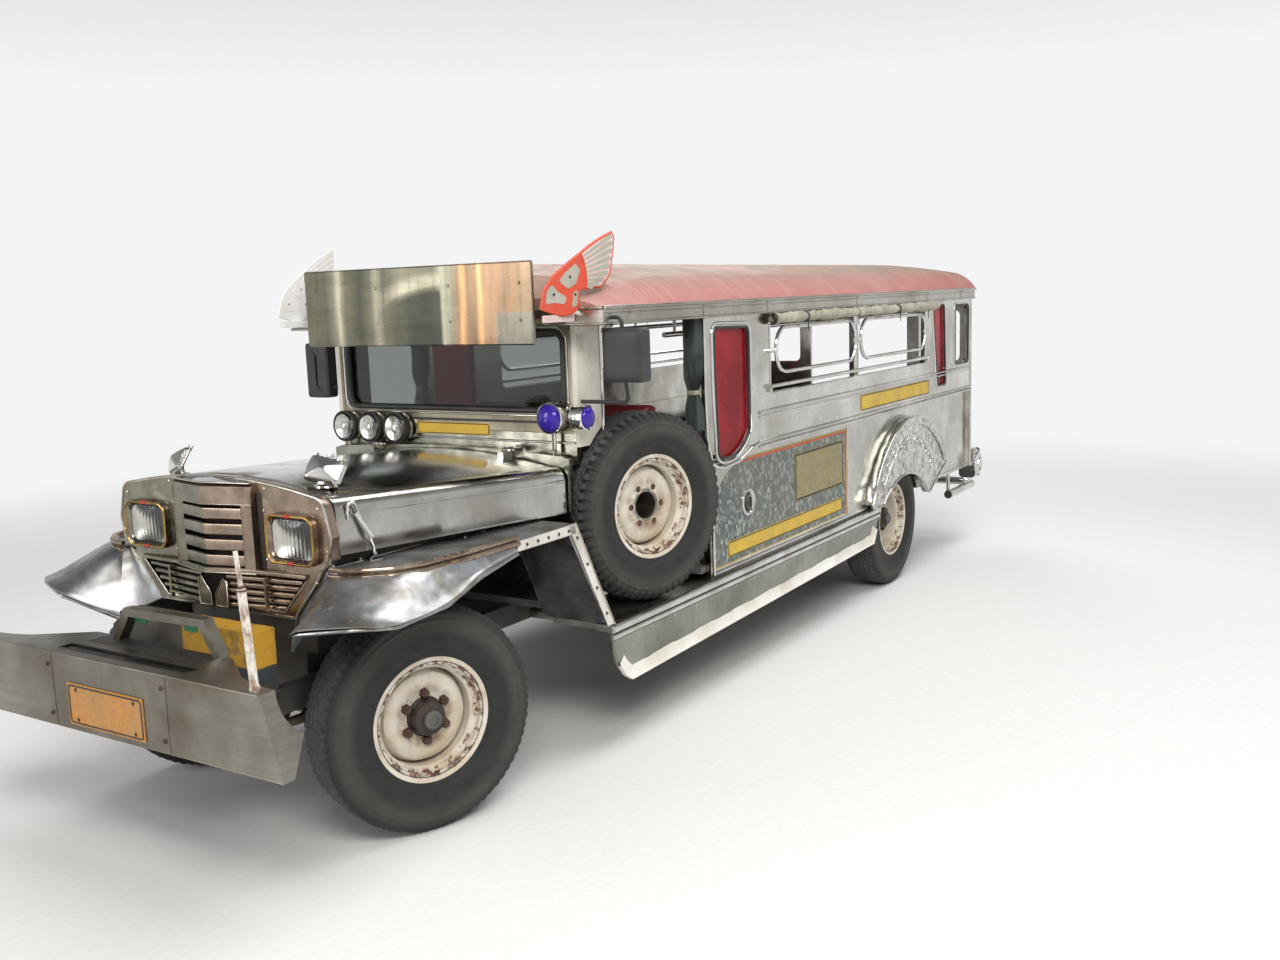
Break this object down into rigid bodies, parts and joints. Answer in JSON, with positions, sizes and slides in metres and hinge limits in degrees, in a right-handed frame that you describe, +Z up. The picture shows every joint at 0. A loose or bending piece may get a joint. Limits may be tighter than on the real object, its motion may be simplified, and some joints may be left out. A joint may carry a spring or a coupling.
{
  "type": "jeepney",
  "caption": "Long open-backed passenger jeepney with polished steel body, rounded roof, face-mounted lamps and side-mounted spare wheel.",
  "frame": {"origin": "middle of the vehicle's length and width, on the ground under the tyres", "axes": "+X forward, +Y to the vehicle's left, +Z up"},
  "size_m": [6.5439, 2.016, 2.096],
  "materials": {
    "tyre": "worn matt rubber, dusty",
    "wheel_paint": "old cream paint with rust",
    "polished_steel": "polished stainless sheet, scuffed",
    "dull_steel": "dull stainless sheet, dented",
    "bronze_steel": "polished pressed sheet with warm tint",
    "chrome_trim": "chrome plate, pitted",
    "lamp_glass": "moulded lamp glass in a bright ring",
    "clear_glass": "flat windscreen glass",
    "red_acrylic": "see-through red sheet",
    "roof_paint": "chalky faded paint with dust",
    "frame_paint": "cream paint",
    "wing_paint": "gloss paint",
    "plate_paint": "plain painted sheet",
    "chassis_paint": "dusty dark paint over rust",
    "exhaust_steel": "rusty sheet",
    "engine_iron": "oily casting",
    "floor_paint": "worn floor paint",
    "dark_plastic": "dark grained plastic",
    "seat_vinyl": "sewn vinyl",
    "curtain_cloth": "vinyl-coated cloth"
  },
  "bodies": {
    "root": {"spare_tyre": "tyre", "spare_wheel": "wheel_paint", "front_fenders": "polished_steel", "side_left": "polished_steel", "side_right": "polished_steel", "rear_frame": "polished_steel", "arch_covers": "polished_steel", "running_boards": "polished_steel", "grille": "polished_steel", "roof_band": "polished_steel", "cowl": "polished_steel", "sign_board": "polished_steel", "bumper": "dull_steel", "face_panel": "bronze_steel", "window_rails": "chrome_trim", "hand_rails": "chrome_trim", "rear_bar": "chrome_trim", "lamps": "chrome_trim", "head_lamps": "lamp_glass", "screen_glass": "clear_glass", "red_panes": "red_acrylic", "roof": "roof_paint", "screen_frame": "frame_paint", "wings": "wing_paint", "plates": "plate_paint", "chassis": "chassis_paint", "front_axle": "chassis_paint", "rear_axle": "chassis_paint", "leaf_springs": "chassis_paint", "driveline": "chassis_paint", "exhaust": "exhaust_steel", "engine": "engine_iron", "floor": "floor_paint", "side_mirrors": "dark_plastic", "steering": "dark_plastic", "seats": "seat_vinyl", "curtains": "curtain_cloth"},
    "knuckle_left": {"knuckle_left": "chassis_paint"},
    "knuckle_right": {"knuckle_right": "chassis_paint"},
    "tie_rod": {"tie_rod": "chassis_paint"},
    "hood": {"hood": "polished_steel"},
    "wheel_fl": {"tyre_fl": "tyre", "wheel_fl": "wheel_paint"},
    "wheel_fr": {"tyre_fr": "tyre", "wheel_fr": "wheel_paint"},
    "wheel_rl": {"tyre_rl": "tyre", "wheel_rl": "wheel_paint"},
    "wheel_rr": {"tyre_rr": "tyre", "wheel_rr": "wheel_paint"}
  },
  "joints": [
    {"name": "steer_left", "type": "hinge", "parent": "root", "child": "knuckle_left", "pos_m": [2.433, 0.5175, 0.4035], "axis": [0, 0, 1], "range_deg": [-5.3, 44.7]},
    {"name": "steer_right", "type": "hinge", "parent": "root", "child": "knuckle_right", "pos_m": [2.433, -0.5175, 0.4035], "axis": [0, 0, 1], "range_deg": [-5.3, 44.7]},
    {"name": "track_rod", "type": "hinge", "parent": "knuckle_left", "child": "tie_rod", "pos_m": [2.29178, 0.56806, 0.36], "axis": [0, 0, 1], "range_deg": [-44.7, 5.3]},
    {"name": "spin_fl", "type": "hinge", "parent": "knuckle_left", "child": "wheel_fl", "pos_m": [2.46502, 0.60694, 0.4035], "axis": [0.3371, 0.9415, 0], "continuous": true},
    {"name": "spin_fr", "type": "hinge", "parent": "knuckle_right", "child": "wheel_fr", "pos_m": [2.40098, -0.60694, 0.4035], "axis": [0.3371, 0.9415, 0], "continuous": true},
    {"name": "spin_rl", "type": "hinge", "parent": "root", "child": "wheel_rl", "pos_m": [-1.607, 0.734, 0.4035], "axis": [0, 1, 0], "continuous": true},
    {"name": "spin_rr", "type": "hinge", "parent": "root", "child": "wheel_rr", "pos_m": [-1.607, -0.734, 0.4035], "axis": [0, 1, 0], "continuous": true},
    {"name": "hood_hinge", "type": "hinge", "parent": "root", "child": "hood", "pos_m": [1.587, 0, 1.222], "axis": [0, -1, 0], "range_deg": [0, 45]}
  ],
  "couplings": [
    {"joint": "steer_right", "follows": "steer_left", "ratio": 1},
    {"joint": "track_rod", "follows": "steer_left", "ratio": -1}
  ]
}
